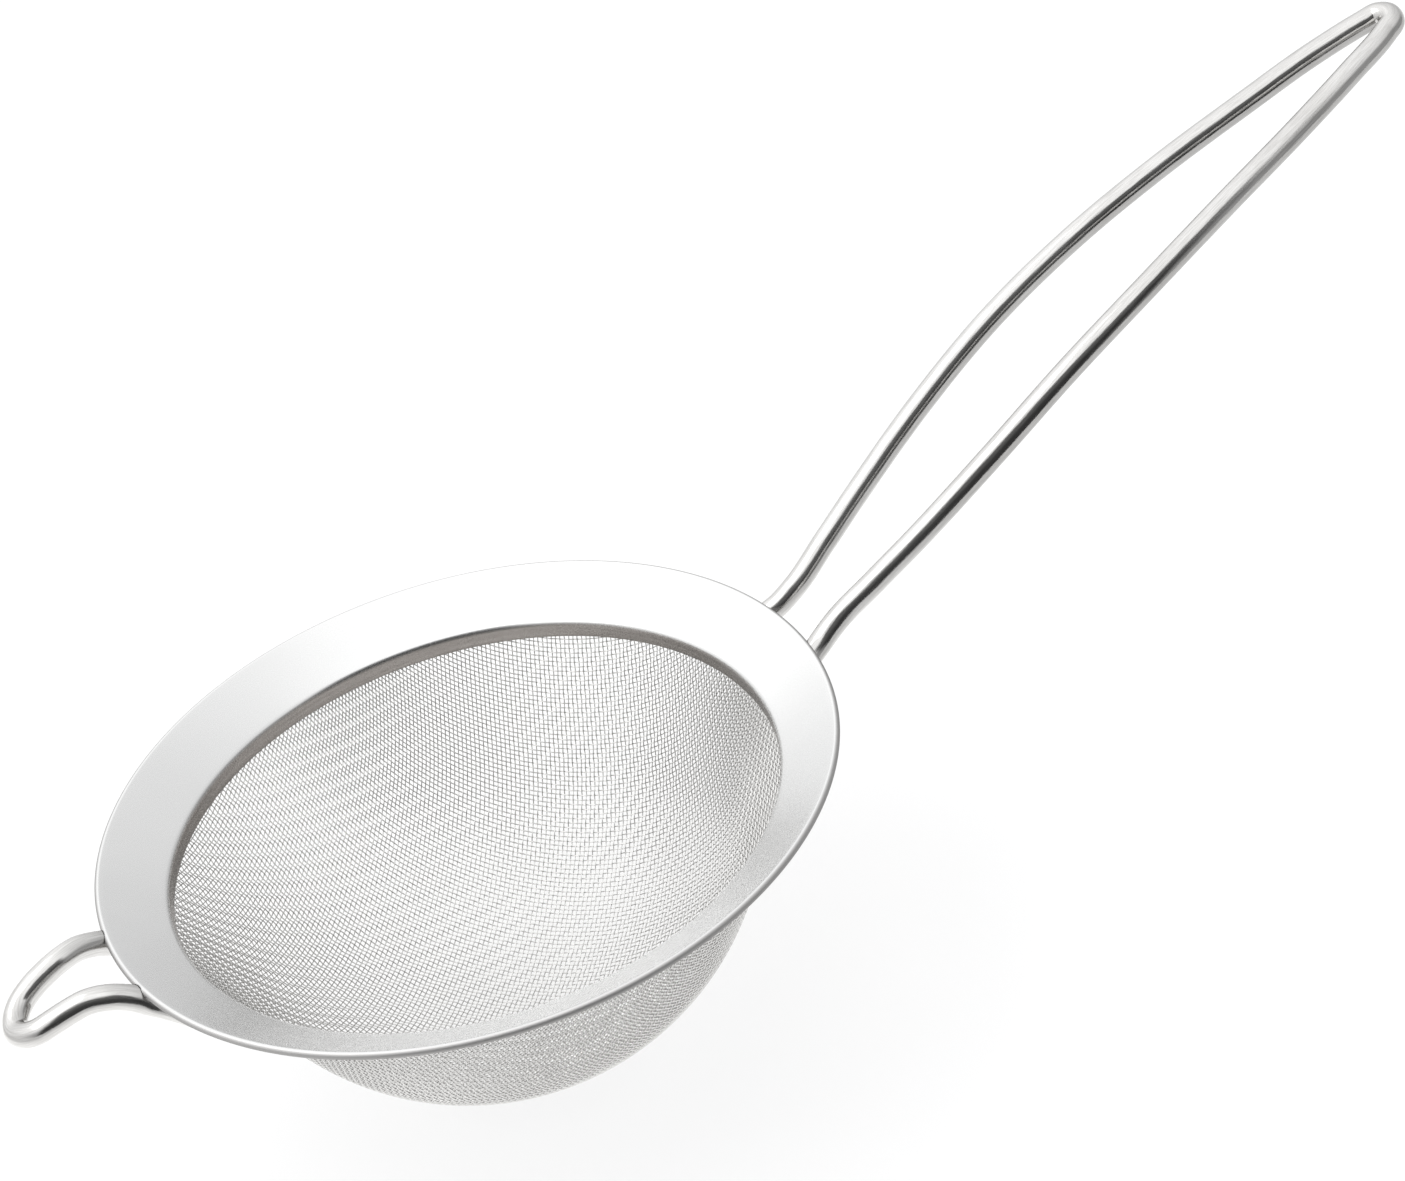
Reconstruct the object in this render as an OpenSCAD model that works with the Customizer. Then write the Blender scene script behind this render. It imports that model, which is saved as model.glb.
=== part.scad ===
// Fine-mesh tea strainer: a dished steel rim with a drawn wire-cloth bowl,
// a long wire loop handle and a short wire hook on the opposite side.
// The bowl's axis is Z, the handle runs along +X, and the part is symmetric about
// the plane Y = 0. The origin is on the axis, level with the middle of the rim's bead.

/* [Rim] */
// Outer diameter over the rolled bead
rim_d = 80; // [78:0.5:82]
// Diameter of the rolled bead's section
bead_d = 0.8; // [0.7:0.1:1.1]
// Inner radius of the collar that the flange turns down into
collar_r = 33; // [32.8:0.1:33.6]
// Depth of the flange's inner corner below the middle of the bead
flange_drop = 3.4; // [2.8:0.1:3.6]
// Height of the collar
collar_h = 1.95; // [1.8:0.05:2.6]
// Thickness of the pressed sheet
sheet = 0.35; // [0.3:0.05:0.4]
// Radius of the bend from flange to collar, on the visible side
bend_r = 0.9; // [0.6:0.05:1]

/* [Retaining hoop] */
// Thickness of the hoop
hoop_t = 0.2; // [0.15:0.05:0.3]
// Height of the hoop
hoop_h = 1; // [0.8:0.1:1.2]

/* [Mesh bowl] */
// Thickness of the wire cloth
cloth_t = 0.3; // [0.2:0.05:0.4]
// Depth of the cloth's cut edge below the end of the collar's bend
cloth_drop = 0.1; // [0:0.05:0.2]
// Outside radius of the round bottom
bowl_r = 31; // [30:0.5:32]
// Depth of the round bottom's centre below the middle of the bead
bowl_centre_drop = 2.7; // [2:0.1:3.4]

/* [Handle and hook wire] */
// Diameter of the wire
wire_d = 2.7; // [2.4:0.1:2.8]
// Number of flats around each wire
wire_sides = 14; // [10:2:18]

/* [Spot welds] */
// Diameter of a weld pad
weld_d = 1.8; // [1.2:0.2:2.2]
// Gap that a weld pad fills between a wire and the flange
weld_gap = 0.1; // [0.1:0.05:0.2]

/* [Hidden] */
$fn = 96;
polished = [0.82, 0.82, 0.82];
satin = [0.60, 0.57, 0.55];
cloth = [0.70, 0.70, 0.69];

// Clearance between the cloth and the parts that clamp it
clear = 0.02;
// Steps in each bend of a profile, and between two points of a wire's route
bend_steps = 6;
bowl_steps = 24;
route_steps = 3;

bead_r = bead_d / 2;
bead_centre_r = rim_d / 2 - bead_r;
wire_r = wire_d / 2;
notch_r = wire_r + 0.08;
notch_len = 3.4;

// The flange's top surface is a straight line from the inner corner, tangent to the bead.
corner_z = -flange_drop;
corner_gap = norm([bead_centre_r - collar_r, flange_drop]);
slope = atan(flange_drop / (bead_centre_r - collar_r)) + asin(bead_r / corner_gap);
collar_z = corner_z - collar_h;
collar_outer_r = collar_r + sheet;

// Height of the flange's top surface, and of a wire's centre under it, at a radius.
function top_z(r) = corner_z + (r - collar_r) * tan(slope);
function under_z(r) = top_z(r) - (sheet + weld_gap + wire_r) / cos(slope);
function polar(c, r, a) = [c[0] + r * cos(a), c[1] + r * sin(a)];

// Centre of the bend from flange to collar.
bend_c = [collar_r + bend_r, top_z(collar_r + bend_r) - bend_r / cos(slope)];

// Half of the handle's centre line, from the weld to the far end. Under the flange
// the leg turns outwards along the rim, and index 3 is where it crosses the bead.
handle_route = [
    [35.6, 10.2, under_z(37)],
    [36.5, 8.2, under_z(37.4)],
    [37.6, 6.6, under_z(38.2)],
    [39, 5.4, under_z(39.4)],
    [41, 4.75, -0.9],
    [43.4, 4.5, 0.5],
    [48.6, 5.3, 3.6],
    [54, 6.2, 6.8],
    [64.4, 7.35, 13],
    [75, 7.7, 18.8],
    [86.5, 7.35, 23.8],
    [98, 6.25, 28],
    [109.6, 4.75, 31.7],
    [118, 3.4, 34.4],
    [124.2, 1.95, 36.2],
    [125.7, 1.35, 36.7],
    [126.2, 0, 36.9]
];
// Half of the hook's centre line, from the weld to the tip.
hook_route = [
    [-34.9, 10.6, under_z(36.5)],
    [-36, 8.9, under_z(37.1)],
    [-37.3, 7.3, under_z(38)],
    [-38.9, 6, under_z(39.4)],
    [-40.8, 5.3, -0.3],
    [-42.6, 4.8, 0.5],
    [-44.5, 4.2, 0.7],
    [-46.5, 3.8, 0.35],
    [-48.3, 3.4, -0.2],
    [-50, 2.75, -0.9],
    [-51.2, 1.5, -1.5],
    [-51.65, 0, -1.8]
];
bead_index = 3;

// Tangent at point i of a route, weighted by the lengths of the two chords.
function chord_mix(a, b, c) =
    let (u = norm(b - a), v = norm(c - b))
    ((b - a) * v / u + (c - b) * u / v) / (u + v);
function tangent(p, i) =
    i == 0 ? (p[1] - p[0]) / norm(p[1] - p[0])
    : i == len(p) - 1 ? (p[i] - p[i - 1]) / norm(p[i] - p[i - 1])
    : chord_mix(p[i - 1], p[i], p[i + 1]);
// Point at fraction t between points i and i + 1, on a cubic with those tangents.
function on_span(p, i, t) =
    let (d = norm(p[i + 1] - p[i]), s = 1 - t)
    p[i] * s * s * (1 + 2 * t) + p[i + 1] * t * t * (3 - 2 * t)
    + d * t * s * (tangent(p, i) * s - tangent(p, i + 1) * t);
function smooth_route(p) = concat(
    [for (i = [0:len(p) - 2], k = [0:route_steps - 1]) on_span(p, i, k / route_steps)],
    [p[len(p) - 1]]
);
// The half route and its mirror image, joined at the end that lies on the XZ plane.
function both_halves(p) = concat(
    p,
    [for (i = [len(p) - 2:-1:0]) [p[i][0], -p[i][1], p[i][2]]]
);
function unit(v) = v / norm(v);
function ring(c, t) =
    let (side = unit(cross(t, [0, 0, 1])), up = cross(side, t))
    [for (k = [0:wire_sides - 1])
        let (a = 360 * k / wire_sides)
        c + wire_r * (cos(a) * side + sin(a) * up)];

module wire(route) {
    line = smooth_route(both_halves(route));
    rings = [for (i = [0:len(line) - 1]) each ring(line[i], unit(tangent(line, i)))];
    n = wire_sides;
    last = (len(line) - 1) * n;
    walls = [for (i = [0:len(line) - 2], k = [0:n - 1])
        let (a = i * n + k, b = i * n + (k + 1) % n)
        each [[a, b, a + n], [b, b + n, a + n]]];
    start_cap = [[for (k = [n - 1:-1:0]) k]];
    end_cap = [[for (k = [0:n - 1]) last + k]];
    polyhedron(rings, concat(start_cap, walls, end_cap));
}

// Room for one wire leg through the underside of the bead.
module notch(route) {
    t = unit(tangent(route, bead_index));
    translate(route[bead_index])
        rotate([0, -asin(t[2]), atan2(t[1], t[0])]) {
            rotate([0, 90, 0])
                cylinder(r = notch_r, h = notch_len, center = true);
            translate([-notch_len / 2, -notch_r, -notch_len])
                cube([notch_len, 2 * notch_r, notch_len]);
        }
}

module both_sides() {
    children();
    mirror([0, 1, 0])
        children();
}

// One weld pad, from just inside the wire's crest to the flange's underside.
module weld_pad(route) {
    p = (route[0] + route[1]) / 2;
    r = norm([p[0], p[1]]);
    spin = atan2(p[1], p[0]);
    bite = 0.1;
    rotate([0, 0, spin])
        translate([r, 0, under_z(r)])
            rotate([0, -slope, 0])
                translate([0, 0, wire_r - bite])
                    cylinder(d = weld_d, h = weld_gap + bite);
}

module flange_and_collar() {
    top = [for (k = [0:bend_steps])
        polar(bend_c, bend_r, 90 + slope + (90 - slope) * k / bend_steps)];
    under = [for (k = [bend_steps:-1:0])
        polar(bend_c, bend_r - sheet, 90 + slope + (90 - slope) * k / bend_steps)];
    bead_c = [bead_centre_r, 0];
    outer_top = polar(bead_c, bead_r, 90 + slope);
    outer_under = polar(bead_c, bead_r - sheet, 90 + slope);
    rotate_extrude()
        polygon(concat(
            [outer_top],
            top,
            [[collar_r, collar_z], [collar_outer_r, collar_z]],
            under,
            [outer_under]
        ));
}

module bead() {
    rotate_extrude()
        translate([bead_centre_r, 0])
            circle(r = bead_r);
}

module rim() {
    color(polished)
        difference() {
            union() {
                flange_and_collar();
                bead();
            }
            both_sides() {
                notch(handle_route);
                notch(hook_route);
            }
        }
}

// The cloth stands up round the outside of the collar, where the hoop clamps it. Below the
// collar it runs straight down to touch the round bottom, then follows it.
cloth_outer_r = collar_outer_r + clear + cloth_t;
cloth_top = [cloth_outer_r, bend_c[1] - cloth_drop];
cloth_knee = [cloth_outer_r, collar_z];
bowl_c = [0, -bowl_centre_drop];
knee_gap = norm(cloth_knee - bowl_c);
touch_a = atan((cloth_knee[1] - bowl_c[1]) / cloth_knee[0]) - acos(bowl_r / knee_gap);

function bowl_line(inset) = concat(
    [cloth_top - [inset, 0], cloth_knee - [inset, 0]],
    [for (k = [0:bowl_steps])
        polar(bowl_c, bowl_r - inset, touch_a + (-90 - touch_a) * k / bowl_steps)]
);

module retaining_hoop() {
    color(satin)
        rotate_extrude()
            translate([cloth_outer_r + clear, cloth_top[1] - hoop_h])
                square([hoop_t, hoop_h]);
}

module mesh_bowl() {
    outside = bowl_line(0);
    inside = bowl_line(cloth_t);
    n = len(inside);
    color(cloth)
        rotate_extrude()
            polygon(concat(outside, [for (i = [n - 1:-1:0]) inside[i]]));
}

module handle() {
    color(polished)
        wire(handle_route);
}

module rest_hook() {
    color(polished)
        wire(hook_route);
}

module handle_welds() {
    color(satin)
        both_sides()
            weld_pad(handle_route);
}

module hook_welds() {
    color(satin)
        both_sides()
            weld_pad(hook_route);
}

rim();
retaining_hoop();
mesh_bowl();
handle();
rest_hook();
handle_welds();
hook_welds();
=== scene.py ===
from math import acos, asin, atan, cos, degrees, pi, radians, sin, sqrt, tan

import bpy
import numpy as np
from mathutils import Matrix, Vector


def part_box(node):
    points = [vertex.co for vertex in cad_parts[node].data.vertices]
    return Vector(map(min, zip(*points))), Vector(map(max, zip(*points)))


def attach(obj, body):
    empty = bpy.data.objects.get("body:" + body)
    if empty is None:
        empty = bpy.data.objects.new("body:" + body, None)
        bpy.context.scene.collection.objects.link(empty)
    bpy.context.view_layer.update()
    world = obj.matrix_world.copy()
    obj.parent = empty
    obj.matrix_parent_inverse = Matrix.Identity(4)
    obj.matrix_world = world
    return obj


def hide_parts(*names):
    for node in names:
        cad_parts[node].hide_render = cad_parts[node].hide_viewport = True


# A fine-mesh tea strainer. Everything is in metres, in the CAD part's frame: the bowl's axis
# is Z, the handle runs along +X, and z = 0 is the middle of the rim's rolled bead.

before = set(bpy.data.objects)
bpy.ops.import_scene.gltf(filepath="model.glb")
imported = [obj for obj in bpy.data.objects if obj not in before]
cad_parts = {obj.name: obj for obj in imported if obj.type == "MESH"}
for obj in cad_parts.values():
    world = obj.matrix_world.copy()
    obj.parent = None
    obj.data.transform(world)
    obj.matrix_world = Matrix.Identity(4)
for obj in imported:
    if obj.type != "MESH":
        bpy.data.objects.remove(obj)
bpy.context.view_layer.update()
MM = 0.001

# ---------------------------------------------------------------- sizes

rim_low, rim_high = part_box("rim")
cloth_low, cloth_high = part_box("mesh_bowl")
hoop_low, hoop_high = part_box("retaining_hoop")

SHEET = 0.35 * MM
BEND_R = 0.9 * MM
CLEAR = 0.02 * MM
CLOTH_T = 0.3 * MM
HOOP_T = 0.2 * MM
WIRE_R = 1.35 * MM
WELD_GAP = 0.1 * MM
BOWL_R = 31 * MM
CORNER_Z = -3.4 * MM

BEAD_R = rim_high.z
BEAD_CENTRE_R = rim_high.x - BEAD_R
COLLAR_R = cloth_high.x - CLOTH_T - CLEAR - SHEET
COLLAR_Z = rim_low.z
CLOTH_TOP_Z = cloth_high.z
BOWL_C_Z = cloth_low.z + BOWL_R
FLOOR_Z = cloth_low.z

# The flange's top surface runs straight from the inner corner to touch the bead.
DROP = -CORNER_Z
REACH = BEAD_CENTRE_R - COLLAR_R
SLOPE = atan(DROP / REACH) + asin(BEAD_R / sqrt(REACH ** 2 + DROP ** 2))


def top_z(r):
    """Height of the flange's top surface at a radius."""
    return CORNER_Z + (r - COLLAR_R) * tan(SLOPE)


def under_z(r):
    """Height, at a radius, of the centre of a wire that lies against the flange's underside."""
    return top_z(r) - (SHEET + WELD_GAP + WIRE_R) / cos(SLOPE)


def leg(x, y, r):
    """A route point, in mm, where a wire leg lies against the flange's underside."""
    return (x, y, under_z(r * MM) / MM)


# Half of each wire's centre line in mm, from the weld to the end on the XZ plane.
HANDLE_ROUTE = [
    leg(35.6, 10.2, 37), leg(36.5, 8.2, 37.4), leg(37.6, 6.6, 38.2), leg(39, 5.4, 39.4),
    (41, 4.75, -0.9), (43.4, 4.5, 0.5), (48.6, 5.3, 3.6), (54, 6.2, 6.8),
    (64.4, 7.35, 13), (75, 7.7, 18.8), (86.5, 7.35, 23.8), (98, 6.25, 28),
    (109.6, 4.75, 31.7), (118, 3.4, 34.4), (124.2, 1.95, 36.2), (125.7, 1.35, 36.7),
    (126.2, 0, 36.9),
]
HOOK_ROUTE = [
    leg(-34.9, 10.6, 36.5), leg(-36, 8.9, 37.1), leg(-37.3, 7.3, 38), leg(-38.9, 6, 39.4),
    (-40.8, 5.3, -0.3), (-42.6, 4.8, 0.5), (-44.5, 4.2, 0.7), (-46.5, 3.8, 0.35),
    (-48.3, 3.4, -0.2), (-50, 2.75, -0.9), (-51.2, 1.5, -1.5), (-51.65, 0, -1.8),
]

# ---------------------------------------------------------------- mesh tools


def unit(v):
    return v / np.linalg.norm(v, axis=-1, keepdims=True)


def make_piece(name, verts, corners, counts, material, slot, replaced):
    """A smooth-shaded piece that rides the part's one body in place of a CAD node. corners
    holds the vertices of each face in turn, and counts says how many each face has."""
    mesh = bpy.data.meshes.new(name)
    mesh.vertices.add(len(verts))
    mesh.vertices.foreach_set("co", np.asarray(verts, dtype=np.float32).ravel())
    mesh.loops.add(len(corners))
    mesh.loops.foreach_set("vertex_index", np.asarray(corners, dtype=np.int32))
    mesh.polygons.add(len(counts))
    starts = np.concatenate([[0], np.cumsum(counts)[:-1]]).astype(np.int32)
    mesh.polygons.foreach_set("loop_start", starts)
    mesh.polygons.foreach_set("use_smooth", np.ones(len(counts), dtype=bool))
    mesh.update(calc_edges=True)
    mesh.validate()
    mesh.materials.append(material)
    piece = bpy.data.objects.new(name, mesh)
    bpy.context.scene.collection.objects.link(piece)
    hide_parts(replaced)
    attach(piece, "root")
    return piece


def grid_faces(rows, cols, wrap_rows=False):
    """Quads over a rows by cols grid of points whose columns wrap round."""
    i = np.arange(rows if wrap_rows else rows - 1)[:, None]
    j = np.arange(cols)[None, :]
    a = i * cols + j
    b = i * cols + (j + 1) % cols
    c = (i + 1) % rows * cols + (j + 1) % cols
    d = (i + 1) % rows * cols + j
    return np.stack([a, b, c, d], axis=-1).reshape(-1, 4)


def tube_faces(ring_counts, sides):
    """The faces of one or more closed tubes, each a run of rings with a cap at both ends."""
    quads, caps, first = [], [], 0
    for rings in ring_counts:
        quads.append(grid_faces(rings, sides) + first)
        caps.append(first + np.arange(sides)[::-1])
        caps.append(first + (rings - 1) * sides + np.arange(sides))
        first += rings * sides
    quads = np.vstack(quads)
    corners = np.concatenate([quads.ravel()] + caps)
    counts = np.concatenate([np.full(len(quads), 4), np.full(len(caps), sides)])
    return corners, counts


def tube_verts(centre, side, up, radius, sides):
    """A ring of points round each point of a line, in the plane of side and up."""
    angle = np.arange(sides) / sides * 2 * pi
    ring = (np.cos(angle)[None, :, None] * side[:, None, :]
            + np.sin(angle)[None, :, None] * up[:, None, :])
    return (centre[:, None, :] + radius * ring).reshape(-1, 3)


# ---------------------------------------------------------------- node tools


def node(tree, kind, inputs, **settings):
    """Adds a node, sets its properties, and feeds its inputs: a socket is linked, and a
    plain value is set."""
    made = tree.nodes.new(kind)
    for key, value in settings.items():
        setattr(made, key, value)
    for key, value in inputs.items():
        if isinstance(value, bpy.types.NodeSocket):
            tree.links.new(value, made.inputs[key])
        else:
            made.inputs[key].default_value = value
    return made


def calculate(tree, operation, *values):
    return node(tree, "ShaderNodeMath", dict(enumerate(values)), operation=operation).outputs[0]


def noise(tree, vector, scale, detail, rough=0.5):
    return node(tree, "ShaderNodeTexNoise", {"Vector": vector, "Scale": scale, "Detail": detail,
                                             "Roughness": rough}).outputs["Fac"]


def ramp(tree, factor, low, high, start=0.3, end=0.7):
    """A colour that goes from low to high as the factor goes from start to end."""
    made = node(tree, "ShaderNodeValToRGB", {"Fac": factor})
    stops = made.color_ramp.elements
    stops[0].position, stops[1].position = start, end
    stops[0].color, stops[1].color = (*low, 1), (*high, 1)
    return made.outputs["Color"]


def spread(tree, value, low, high, start, end, way="LINEAR"):
    """A number that goes from low to high as the value goes from start to end."""
    return node(tree, "ShaderNodeMapRange", {"Value": value, "From Min": start, "From Max": end,
                                             "To Min": low, "To Max": high},
                interpolation_type=way).outputs["Result"]


def stretched(tree, source, scale):
    return node(tree, "ShaderNodeMapping", {"Vector": source, "Scale": scale}).outputs["Vector"]


def mixed(tree, factor, a, b, blend_type="MIX"):
    return node(tree, "ShaderNodeMix", {"Factor": factor, "A": a, "B": b},
                data_type="RGBA", blend_type=blend_type).outputs["Result"]


def new_material(name):
    """A new material, its node tree and its shader."""
    material = bpy.data.materials.new(name)
    material.use_nodes = True
    tree = material.node_tree
    return material, tree, tree.nodes["Principled BSDF"]


# ---------------------------------------------------------------- steel

# The collar's painted shade and its marks fade in between two heights, and the bead's painted
# shade between two radii.
COLLAR_ZONE = (CORNER_Z - 0.35 * MM, CORNER_Z)
BEAD_ZONE = (BEAD_CENTRE_R - 0.02 * MM, BEAD_CENTRE_R + 0.24 * MM)


def rim_zones(tree, where, colour, roughness):
    """Two zones of the rim's sheet: the collar, darker and browner, which is painted shade in
    the hollow under the flange's bend, with marks that run round it; and the bead's outermost
    face, darker, which is painted shade, with painted dimmer reflections at a glancing angle,
    and less glossy. Returns the colour, the roughness and the tint of reflections at a glancing
    angle."""
    height = node(tree, "ShaderNodeSeparateXYZ", {"Vector": where}).outputs["Z"]
    on_collar = spread(tree, height, 1.0, 0.0, *COLLAR_ZONE)
    marks = noise(tree, stretched(tree, where, (60, 60, 3000)), 1.0, 2.0)
    # Painted shade: the collar is made darker and browner than the flange, with marks running
    # round it.
    collar_shade_and_marks = ramp(tree, marks, (0.27, 0.25, 0.235), (0.34, 0.32, 0.302))
    colour = mixed(tree, on_collar, colour, collar_shade_and_marks)
    flat = node(tree, "ShaderNodeVectorMath", {0: where, 1: (1, 1, 0)}, operation="MULTIPLY")
    radius = node(tree, "ShaderNodeVectorMath", {0: flat.outputs["Vector"]}, operation="LENGTH")
    outermost = spread(tree, radius.outputs["Value"], 0.0, 1.0, *BEAD_ZONE)
    # Painted shade: the bead's outermost face is made darker than the rest of the sheet.
    colour = mixed(tree, outermost, colour, (0.40, 0.395, 0.39, 1))
    roughness = calculate(tree, "MULTIPLY_ADD", outermost, 0.3, roughness)
    # Painted shade on reflections: they are dimmed at a glancing angle on the bead's outer
    # face.
    edge_tint = ramp(tree, outermost, (1, 1, 1), (0.3, 0.3, 0.3), 0.0, 1.0)
    return colour, roughness, edge_tint


def steel(name, dark, light, rough, bump, bump_scale=4000, patch_scale=60, streaks=None,
          zones=None):
    """Steel whose tone and gloss drift in soft patches, with fine marks in its surface. rough
    is (smoothest, roughest). streaks is a UV scale for marks drawn along a wire. zones is a
    function that paints shade onto parts of the surface and sets their gloss."""
    material, tree, shader = new_material(name)
    coordinates = tree.nodes.new("ShaderNodeTexCoord")
    where = coordinates.outputs["Object"]
    patch = noise(tree, where, patch_scale, 4.0)
    colour = ramp(tree, patch, dark, light)
    if streaks:
        marks = noise(tree, stretched(tree, coordinates.outputs["UV"], streaks), 1.0, 5.0, 0.65)
        shade = ramp(tree, marks, (0.55, 0.54, 0.53), (1, 1, 1), 0.3, 0.62)
        colour = mixed(tree, 0.5, colour, shade, "MULTIPLY")
    else:
        marks = noise(tree, where, bump_scale, 2.0)
    roughness = spread(tree, calculate(tree, "ADD", patch, marks), *rough, 0.7, 1.3)
    if zones:
        # The zones paint shade into the colour and into the tint of reflections at a glancing
        # angle.
        colour, roughness, edge_tint = zones(tree, where, colour, roughness)
        tree.links.new(edge_tint, shader.inputs["Specular Tint"])
    relief = node(tree, "ShaderNodeBump", {"Height": marks, "Strength": bump,
                                           "Distance": 0.02 * MM})
    shader.inputs["Metallic"].default_value = 1.0
    tree.links.new(colour, shader.inputs["Base Color"])
    tree.links.new(roughness, shader.inputs["Roughness"])
    tree.links.new(relief.outputs["Normal"], shader.inputs["Normal"])
    return material


sheet_steel = steel("polished_sheet_steel", (0.60, 0.60, 0.595), (0.625, 0.625, 0.62),
                    (0.24, 0.30), bump=0.03, bump_scale=9000, zones=rim_zones)
wire_steel = steel("drawn_wire_steel", (0.50, 0.493, 0.482), (0.56, 0.555, 0.545),
                   (0.10, 0.20), bump=0.5, streaks=(26, 0.35, 1))
hoop_steel = steel("satin_hoop_steel", (0.40, 0.362, 0.335), (0.50, 0.468, 0.435),
                   (0.34, 0.48), bump=0.4, bump_scale=5000, patch_scale=220)
cloth_steel = steel("wire_cloth_steel", (0.50, 0.495, 0.485), (0.55, 0.545, 0.535),
                    (0.10, 0.18), bump=0.03, bump_scale=9000, patch_scale=150)
weld_steel = steel("spot_weld_steel", (0.30, 0.27, 0.25), (0.58, 0.55, 0.52),
                   (0.35, 0.6), bump=0.8, bump_scale=2500, patch_scale=900)

# ---------------------------------------------------------------- handle and hook

WIRE_SIDES = 40
ROUTE_STEPS = 14
WIRE_CHAMFER = 0.15 * MM


def tangents(points):
    """The same tangents as the CAD model's routes: chords mixed by their lengths."""
    chord = np.diff(points, axis=0)
    length = np.linalg.norm(chord, axis=1)[:, None]
    inner = (chord[:-1] / length[:-1] * length[1:] + chord[1:] / length[1:] * length[:-1])
    inner = inner / (length[:-1] + length[1:])
    return np.vstack([chord[:1] / length[:1], inner, chord[-1:] / length[-1:]])


def smooth_route(half):
    """The whole centre line in metres: a cubic through the half route and its mirror image."""
    points = np.array(half, dtype=float)
    points = np.vstack([points, points[-2::-1] * [1, -1, 1]]) * MM
    tangent = tangents(points)
    line = []
    for a, b, ta, tb in zip(points[:-1], points[1:], tangent[:-1], tangent[1:]):
        size = np.linalg.norm(b - a)
        for t in np.arange(ROUTE_STEPS) / ROUTE_STEPS:
            s = 1 - t
            line.append(a * s * s * (1 + 2 * t) + b * t * t * (3 - 2 * t)
                        + size * t * s * (ta * s - tb * t))
    return np.array(line + [points[-1]])


def wire_piece(name, half, replaced):
    """A round wire with chamfered cut ends. Returns its centre line."""
    line = smooth_route(half)
    tangent = unit(tangents(line))
    # Each end has two rings: a smaller one at the cut, and a full one a chamfer behind it.
    ring_at = np.concatenate([[0], np.arange(len(line)), [len(line) - 1]])
    centre = line[ring_at]
    centre[1] += tangent[0] * WIRE_CHAMFER
    centre[-2] -= tangent[-1] * WIRE_CHAMFER
    radius = np.full((len(centre), 1, 1), WIRE_R)
    radius[[0, -1]] -= WIRE_CHAMFER
    side = unit(np.cross(tangent, [0, 0, 1]))[ring_at]
    up = np.cross(side, tangent[ring_at])
    verts = tube_verts(centre, side, up, radius, WIRE_SIDES)
    piece = make_piece(name, verts, *tube_faces([len(centre)], WIRE_SIDES), wire_steel,
                       "polished_wire", replaced)
    # The UV map runs round and along the wire. It folds back half way round, to have no seam.
    girth = np.abs(np.arange(WIRE_SIDES) / WIRE_SIDES - 0.5) * 2
    run = np.concatenate([[0], np.cumsum(np.linalg.norm(np.diff(centre, axis=0), axis=1))]) / MM
    uv = np.stack(np.broadcast_arrays(girth[None, :], run[:, None]), axis=-1).reshape(-1, 2)
    corners = np.zeros(len(piece.data.loops), dtype=np.int32)
    piece.data.loops.foreach_get("vertex_index", corners)
    layer = piece.data.uv_layers.new(name="along")
    layer.data.foreach_set("uv", uv[corners].astype(np.float32).ravel())
    return line


handle_line = wire_piece("handle_wire", HANDLE_ROUTE, "handle")
hook_line = wire_piece("rest_hook_wire", HOOK_ROUTE, "rest_hook")

# ---------------------------------------------------------------- rim and hoop


def on_arc(centre, radius, angle):
    """The point of an arc at an angle in degrees."""
    return (centre[0] + radius * cos(radians(angle)), centre[1] + radius * sin(radians(angle)))


def arc(centre, radius, start, end, steps):
    return [on_arc(centre, radius, angle) for angle in np.linspace(start, end, steps + 1)]


def even(a, b, steps):
    """Points from a towards b, without either end."""
    t = (np.arange(1, steps) / steps)[:, None]
    return [tuple(p) for p in np.array(a) * (1 - t) + np.array(b) * t]


def turned(name, profile, segments, material, slot, replaced, shape=None):
    """A closed profile of (radius, height) points, turned round the bowl's axis."""
    r, z = np.array(profile).T
    angle = (np.arange(segments) / segments * 2 * pi)[:, None]
    verts = np.stack(np.broadcast_arrays(r * np.cos(angle), r * np.sin(angle), z), axis=-1)
    verts = verts.reshape(-1, 3)
    if shape:
        verts = shape(verts)
    faces = grid_faces(segments, len(profile), wrap_rows=True)
    return make_piece(name, verts, faces.ravel(), np.full(len(faces), 4), material, slot,
                      replaced)


# Where the flange's surface meets the bead and the bend, as an angle round their centres.
SQUARE = 90 + degrees(SLOPE)
bead = (BEAD_CENTRE_R, 0.0)
bend_r = COLLAR_R + BEND_R
bend = (bend_r, top_z(bend_r) - BEND_R / cos(SLOPE))
inner_bend_r = BEND_R - SHEET
collar_out = COLLAR_R + SHEET
cut_r = 0.1 * MM
# The curled edge ends against the flange's underside, with a fine groove beside it.
CURL_END = 250
groove_r = BEAD_CENTRE_R - 0.38 * MM
groove = (groove_r, top_z(groove_r) - 0.8 * SHEET / cos(SLOPE))
lip_r = groove_r - 0.12 * MM
lip = (lip_r, top_z(lip_r) - SHEET / cos(SLOPE))
rim_profile = (
    arc(bead, BEAD_R, SQUARE, CURL_END - 360, 30)
    + even(on_arc(bead, BEAD_R, CURL_END), groove, 3) + [groove, lip]
    + even(lip, on_arc(bend, inner_bend_r, SQUARE), 10)
    + arc(bend, inner_bend_r, SQUARE, 180, 8)
    + even((collar_out, bend[1]), (collar_out, COLLAR_Z), 5)
    + arc((collar_out - cut_r, COLLAR_Z + cut_r), cut_r, 0, -90, 3)
    + arc((COLLAR_R + cut_r, COLLAR_Z + cut_r), cut_r, -90, -180, 3)
    + even((COLLAR_R, COLLAR_Z + cut_r), (COLLAR_R, bend[1]), 5)
    + arc(bend, BEND_R, 180, SQUARE, 12)
    + even(on_arc(bead, BEAD_R, SQUARE), on_arc(bend, BEND_R, SQUARE), 12)[::-1]
)


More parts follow.
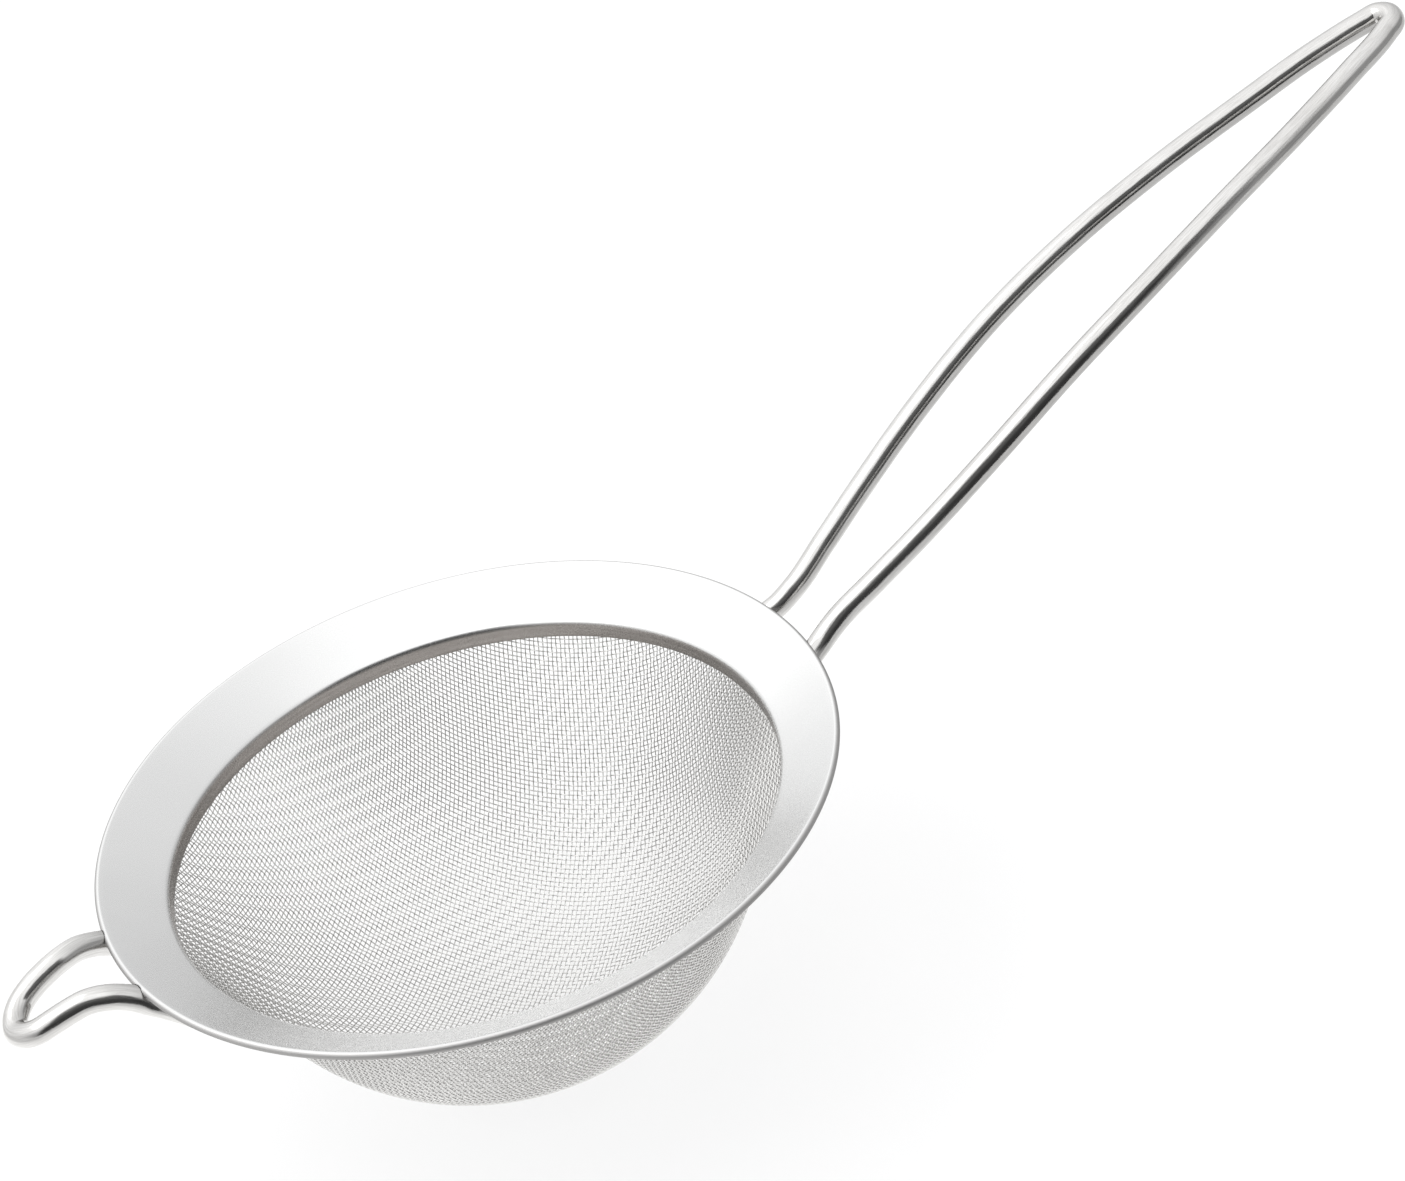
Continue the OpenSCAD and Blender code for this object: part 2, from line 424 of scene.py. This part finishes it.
def press_over_wires(verts):
    """Moves the curled edge out of the way of the four wire legs that pass under it."""
    room = WIRE_R + 0.07 * MM
    edge = np.nonzero(np.hypot(verts[:, 0], verts[:, 1]) > BEAD_CENTRE_R - 1.2 * MM)[0]
    v = verts[edge]
    rows = np.arange(len(v))
    for line in (handle_line, hook_line):
        near = line[np.hypot(line[:, 0], line[:, 1]) < rim_high.x + 3 * MM]
        for one_leg in (near[near[:, 1] > 0], near[near[:, 1] < 0]):
            # A point too near the wire moves away from it, and always partly upwards.
            for _ in range(3):
                gap = v[:, None, :] - one_leg[None, :, :]
                distance = np.linalg.norm(gap, axis=2)
                nearest = distance.argmin(axis=1)
                push = room - distance[rows, nearest]
                away = gap[rows, nearest]
                away[:, 2] = np.maximum(away[:, 2], 0.35 * room)
                hit = push > 0
                v[hit] += unit(away[hit]) * push[hit, None]
    verts[edge] = v
    return verts


turned("rim_sheet", rim_profile, 1080, sheet_steel, "polished_sheet", "rim", press_over_wires)

hoop_out = hoop_high.x
hoop_in = hoop_out - HOOP_T
hoop_edge = HOOP_T / 2
hoop_mid = hoop_out - hoop_edge
hoop_top = hoop_high.z - hoop_edge
hoop_foot = hoop_low.z + hoop_edge
hoop_profile = (
    arc((hoop_mid, hoop_top), hoop_edge, 0, 90, 4)
    + arc((hoop_mid, hoop_top), hoop_edge, 90, 180, 6)
    + even((hoop_in, hoop_top), (hoop_in, hoop_foot), 6)
    + arc((hoop_mid, hoop_foot), hoop_edge, 180, 270, 4)
    + arc((hoop_mid, hoop_foot), hoop_edge, 270, 360, 4)
)
turned("retaining_hoop_band", hoop_profile, 720, hoop_steel, "satin_hoop", "retaining_hoop")

# ---------------------------------------------------------------- wire cloth

PITCH = 0.53 * MM
STRAND_R = 0.07 * MM
STRAND_SIDES = 6
NET_TURN = radians(45)
BANDS = 4
# Meshes from the bottom to beyond the cloth's edge.
NET_COUNT = int(54 * MM / PITCH)

# The cloth's middle surface: round at the bottom, then a cone that touches it, up to the foot
# of the collar, then straight up the collar's outside.
mid_r = cloth_high.x - CLOTH_T / 2
mid_bowl_r = BOWL_R - CLOTH_T / 2
knee_gap = np.hypot(cloth_high.x, COLLAR_Z - BOWL_C_Z)
touch = atan((COLLAR_Z - BOWL_C_Z) / cloth_high.x) - acos(BOWL_R / knee_gap)
touch_point = np.array([mid_bowl_r * cos(touch), BOWL_C_Z + mid_bowl_r * sin(touch)])
wall = unit(np.array([mid_r, COLLAR_Z]) - touch_point)
wall_normal = np.array([wall[1], -wall[0]])


def off_surface(p):
    """Signed distance from the cloth's middle surface, and that distance's gradient."""
    r = np.maximum(np.hypot(p[:, 0], p[:, 1]), 1e-9)
    z = p[:, 2]
    ball = np.hypot(r, z - BOWL_C_Z)
    value, nr, nz = ball - mid_bowl_r, r / ball, (z - BOWL_C_Z) / ball
    from_touch = np.stack([r, z], axis=1) - touch_point
    on_wall = from_touch @ wall > 0
    value = np.where(on_wall, from_touch @ wall_normal, value)
    nr = np.where(on_wall, wall_normal[0], nr)
    nz = np.where(on_wall, wall_normal[1], nz)
    on_collar = z > COLLAR_Z
    value = np.where(on_collar, r - mid_r, value)
    nr = np.where(on_collar, 1.0, nr)
    nz = np.where(on_collar, 0.0, nz)
    return value, np.stack([nr * p[:, 0] / r, nr * p[:, 1] / r, nz], axis=1)


def meridian():
    """Points one pitch apart up the surface from the bottom, in the XZ plane."""
    points = [np.array([0.0, 0.0, BOWL_C_Z - mid_bowl_r])]
    guess = points[0] + [PITCH, 0, 0]
    for _ in range(NET_COUNT):
        p = guess[None, :].copy()
        for _ in range(8):
            value, normal = off_surface(p)
            p -= normal * value[:, None]
            p = points[-1] + unit(p - points[-1]) * PITCH
        points.append(p[0])
        guess = points[-1] + (points[-1] - points[-2])
    return np.array(points)


def quarter_net():
    """One quarter of a net of equal rhombs laid over the surface between two meridians."""
    line = meridian()
    net = np.full((NET_COUNT + 1, NET_COUNT + 1, 3), np.nan)
    net[:, 0] = line
    net[0, :] = line[:, [1, 0, 2]]
    for total in range(2, 2 * NET_COUNT + 1):
        i = np.arange(max(1, total - NET_COUNT), min(NET_COUNT, total - 1) + 1)
        j = total - i
        # Beyond the cloth's top edge the net isn't needed, and stays unset.
        needed = np.minimum(net[i - 1, j, 2], net[i, j - 1, 2]) < CLOTH_TOP_Z + PITCH
        i, j = i[needed], j[needed]
        a, b = net[i - 1, j], net[i, j - 1]
        p = a + b - net[i - 1, j - 1]
        # Newton's method: one pitch from both neighbours, and on the surface.
        for _ in range(7):
            value, normal = off_surface(p)
            da, db = p - a, p - b
            rows = np.stack([2 * da, 2 * db, normal], axis=1)
            wrong = np.stack([(da ** 2).sum(1) - PITCH ** 2, (db ** 2).sum(1) - PITCH ** 2,
                              value], axis=1)
            p = p - np.linalg.solve(rows, wrong[:, :, None])[:, :, 0]
        net[i, j] = p
    return net


def whole_net():
    """The four quarters, turned so that the wires cross the handle's line at 45 degrees."""
    quarter = quarter_net()
    size = 2 * NET_COUNT + 1
    net = np.zeros((size, size, 3))
    for si in (1, -1):
        for sj in (1, -1):
            i = NET_COUNT + si * np.arange(NET_COUNT + 1)
            j = NET_COUNT + sj * np.arange(NET_COUNT + 1)
            net[np.ix_(i, j)] = quarter * [si, sj, 1]
    turn = np.array([[cos(NET_TURN), sin(NET_TURN), 0], [-sin(NET_TURN), cos(NET_TURN), 0],
                     [0, 0, 1]])
    return net @ turn


def strand(points, normal, lift):
    """One wire's centre line and outward normals, at the crossings and half way between."""
    centre = points + normal * lift[:, None]
    line = np.empty((2 * len(centre) - 1, 3))
    out = np.empty_like(line)
    line[0::2], line[1::2] = centre, (centre[:-1] + centre[1:]) / 2
    out[0::2], out[1::2] = normal, unit(normal[:-1] + normal[1:])
    return line, out


def weave(net, normals, inside, rise):
    """The wires along the net's rows. Each goes over two wires and under two, one step on
    from the wire before it, which makes a 2/2 twill."""
    wires = []
    for k in range(len(net)):
        kept = np.nonzero(inside[k])[0]
        if len(kept) < 3:
            continue
        across = np.arange(kept[0], kept[-1] + 1)
        lift = np.where((k + across) % 4 < 2, rise, -rise)
        wires.append(strand(net[k, across], normals[k, across], lift))
    return wires


def strand_mesh(name, wires):
    """Tubes along the wires' centre lines, as one piece."""
    verts = []
    for line, out in wires:
        direction = unit(np.gradient(line, axis=0))
        side = unit(np.cross(direction, out))
        verts.append(tube_verts(line, side, np.cross(side, direction), STRAND_R, STRAND_SIDES))
    faces = tube_faces([len(line) for line, out in wires], STRAND_SIDES)
    make_piece(name, np.vstack(verts), *faces, cloth_steel, "wire_cloth", "mesh_bowl")


net = whole_net()
net_normal = off_surface(net.reshape(-1, 3))[1].reshape(net.shape)
inside = net[:, :, 2] < CLOTH_TOP_Z - STRAND_R
warp = weave(net, net_normal, inside, STRAND_R)
weft = weave(net.transpose(1, 0, 2), net_normal.transpose(1, 0, 2), inside.T, -STRAND_R)
for label, wires in (("warp", warp), ("weft", weft)):
    lengths = np.cumsum([len(line) for line, out in wires])
    band = lengths * BANDS // (lengths[-1] + 1)
    for b in range(BANDS):
        strand_mesh(f"mesh_{label}_{b + 1}", [w for w, k in zip(wires, band) if k == b])

# ---------------------------------------------------------------- welds

NUGGET_R = 0.9 * MM
NUGGET_RINGS = 9
NUGGET_SIDES = 28


def nugget(start, after, wobble):
    """Points of a squeezed weld nugget between a wire's end and the flange, half way between
    the first two points of the wire's route."""
    middle = (start + after) / 2
    r = np.hypot(middle[0], middle[1])
    out = middle[:2] / r
    normal = np.array([-out[0] * sin(SLOPE), -out[1] * sin(SLOPE), cos(SLOPE)])
    along = unit(after - start)
    across = np.cross(normal, along)
    centre = np.array([middle[0], middle[1], under_z(r)]) + normal * (WIRE_R + WELD_GAP / 2)
    # The side bulges from the bottom ring, at t = 0, to the top ring, and is longer than wide.
    t = (np.arange(NUGGET_RINGS) / (NUGGET_RINGS - 1) * pi)[:, None, None]
    q = (np.arange(NUGGET_SIDES) / NUGGET_SIDES * 2 * pi)[None, :, None]
    reach = NUGGET_R * (0.55 + 0.45 * np.sin(t) ** 2) * wobble[None, :, None]
    verts = (centre + along * np.cos(q) * reach * 1.25 + across * np.sin(q) * reach * 0.8
             - normal * np.cos(t) * WELD_GAP * 0.75)
    return verts.reshape(-1, 3)


def weld_piece(name, replaced, half, seed):
    """The two uneven weld nuggets of one wire."""
    rng = np.random.default_rng(seed)
    verts = []
    for mirror in ([1, 1, 1], [1, -1, 1]):
        start, after = np.array(half[:2]) * MM * mirror
        # The outline wanders smoothly: noise, summed over five neighbours and divided by
        # about the square root of five, which keeps its strength.
        wander = np.convolve(rng.standard_normal(NUGGET_SIDES * 3), np.ones(5) / 2.2, "same")
        wobble = 1 + 0.12 * wander[NUGGET_SIDES:2 * NUGGET_SIDES]
        verts.append(nugget(start, after, wobble))
    faces = tube_faces([NUGGET_RINGS, NUGGET_RINGS], NUGGET_SIDES)
    make_piece(name, np.vstack(verts), *faces, weld_steel, "weld", replaced)


weld_piece("handle_weld_nuggets", "handle_welds", HANDLE_ROUTE, seed=19)
weld_piece("hook_weld_nuggets", "hook_welds", HOOK_ROUTE, seed=17)

# ---------------------------------------------------------------- floor

# The floor ends a little in front of the bowl, so that the steel also reflects the studio.
FLOOR_FRONT = -0.12
FLOOR_HALF = 2.0
# The steel sees the floor brighter within NEAR of this point, behind the bowl, than past FAR.
POOL = (-0.02, 0.07, FLOOR_Z)
NEAR, FAR = 0.1, 0.14

floor_mesh = bpy.data.meshes.new("floor")
floor_mesh.from_pydata([(x, y, FLOOR_Z) for x, y in (
    (-FLOOR_HALF, FLOOR_FRONT), (FLOOR_HALF, FLOOR_FRONT),
    (FLOOR_HALF, 2 * FLOOR_HALF), (-FLOOR_HALF, 2 * FLOOR_HALF))], [], [(0, 1, 2, 3)])
floor = bpy.data.objects.new("floor", floor_mesh)
bpy.context.scene.collection.objects.link(floor)
floor_material, floor_tree, seen_floor = new_material("pale_floor")
reflected_floor = floor_tree.nodes.new("ShaderNodeBsdfPrincipled")
floor_where = floor_tree.nodes.new("ShaderNodeTexCoord").outputs["Object"]
floor_tone = noise(floor_tree, floor_where, 3.0, 3.0)


def set_panel(shader, albedo, near_glow, far_glow):
    """A matt panel that also glows, so that shadows on it stay faint."""
    pale = ramp(floor_tree, floor_tone, (albedo,) * 3, (albedo * 1.05,) * 3)
    distance = node(floor_tree, "ShaderNodeVectorMath", {0: floor_where, 1: POOL},
                    operation="DISTANCE").outputs["Value"]
    glow = spread(floor_tree, distance, near_glow, far_glow, NEAR, FAR)
    shader.inputs["Roughness"].default_value = 0.9
    shader.inputs["Emission Color"].default_value = (1.0, 1.0, 1.0, 1)
    floor_tree.links.new(pale, shader.inputs["Base Color"])
    floor_tree.links.new(glow, shader.inputs["Emission Strength"])


# Seen directly the floor is plain white, and what the steel reflects of it isn't so even.
set_panel(reflected_floor, 0.3, 1.15, 0.5)
set_panel(seen_floor, 0.21, 0.72, 0.72)
either = node(floor_tree, "ShaderNodeMixShader", {
    0: floor_tree.nodes.new("ShaderNodeLightPath").outputs["Is Camera Ray"],
    1: reflected_floor.outputs["BSDF"], 2: seen_floor.outputs["BSDF"]})
floor_tree.links.new(either.outputs[0], floor_tree.nodes["Material Output"].inputs["Surface"])
floor_mesh.materials.append(floor_material)

# ---------------------------------------------------------------- studio

world = bpy.data.worlds.new("studio")
bpy.context.scene.world = world
world.use_nodes = True
sky = world.node_tree
direction = sky.nodes.new("ShaderNodeTexCoord").outputs["Generated"]
towards = node(sky, "ShaderNodeSeparateXYZ", {"Vector": direction}).outputs
azimuth = calculate(sky, "ARCTAN2", towards["Y"], towards["X"])


def step(value, start, end):
    return spread(sky, value, 0.0, 1.0, start, end, "SMOOTHSTEP")


def one_minus(value):
    return calculate(sky, "SUBTRACT", 1.0, value)


def scaled(value, factor):
    return calculate(sky, "MULTIPLY", value, factor)


def blended(factor, a, b):
    """a where the factor is 0, and b where it is 1."""
    return calculate(sky, "ADD", a, scaled(factor, calculate(sky, "SUBTRACT", b, a)))


def near_azimuth(angle, core, fade):
    """1 within core degrees of an azimuth, falling to 0 at fade degrees from it."""
    off = calculate(sky, "ABSOLUTE", calculate(sky, "SUBTRACT", azimuth, radians(angle)))
    return one_minus(step(off, radians(core), radians(fade)))


# A white tent: bright overhead, dimmer low down on the camera's side and towards the right,
# with a dark gap in it on the camera's side.
LOW_NEAR, LOW_FAR, OVERHEAD, DIMMEST = 0.62, 1.32, 1.8, 0.5
GAP_DEPTH = 0.89
BACKDROP = 1.05
overhead = step(towards["Z"], 0.15, 0.6)
low = blended(step(towards["Y"], -0.55, 0.35), LOW_NEAR, LOW_FAR)
right_side = scaled(step(towards["X"], -0.1, 0.8),
                    calculate(sky, "ADD", 0.48, scaled(overhead, 0.2)))
tent = calculate(sky, "SUBTRACT", blended(overhead, low, OVERHEAD), right_side)
tent = calculate(sky, "MAXIMUM", tent, DIMMEST)
gap = scaled(near_azimuth(-104, 32, 46), one_minus(step(towards["Z"], 0.68, 0.82)))
tent = scaled(tent, one_minus(scaled(gap, GAP_DEPTH)))
# The backdrop that is seen directly is plain white.
seen = sky.nodes.new("ShaderNodeLightPath").outputs["Is Camera Ray"]
background = sky.nodes["Background"]
sky.links.new(blended(seen, tent, BACKDROP), background.inputs["Strength"])
background.inputs["Color"].default_value = (0.99, 0.993, 1.0, 1)

light_data = bpy.data.lights.new("softbox", "AREA")
light_data.shape = "RECTANGLE"
light_data.size = 1.2
light_data.size_y = 0.9
light_data.energy = 5.0
softbox = bpy.data.objects.new("softbox", light_data)
bpy.context.scene.collection.objects.link(softbox)
softbox.location = (-0.7, 0.25, 1.1)
softbox.rotation_euler = (-softbox.location).to_track_quat("-Z", "Y").to_euler()

# ---------------------------------------------------------------- camera

camera_data = bpy.data.cameras.new("camera")
camera_data.sensor_fit = "HORIZONTAL"
camera_data.sensor_width = 36
camera_data.lens = 82
camera_data.clip_start = 0.01
camera = bpy.data.objects.new("camera", camera_data)
bpy.context.scene.collection.objects.link(camera)
place = (-0.0672, -0.2633, 0.1983)
right = Vector((0.8551, -0.4729, -0.2124)).normalized()
back = right.cross(Vector((0.4292, 0.4159, 0.8017))).normalized()
axes = Matrix((right, back.cross(right), back)).transposed()
camera.matrix_world = Matrix.Translation(place) @ axes.to_4x4()
bpy.context.scene.camera = camera
bpy.context.scene.view_settings.view_transform = "Standard"

bpy.context.view_layer.update()
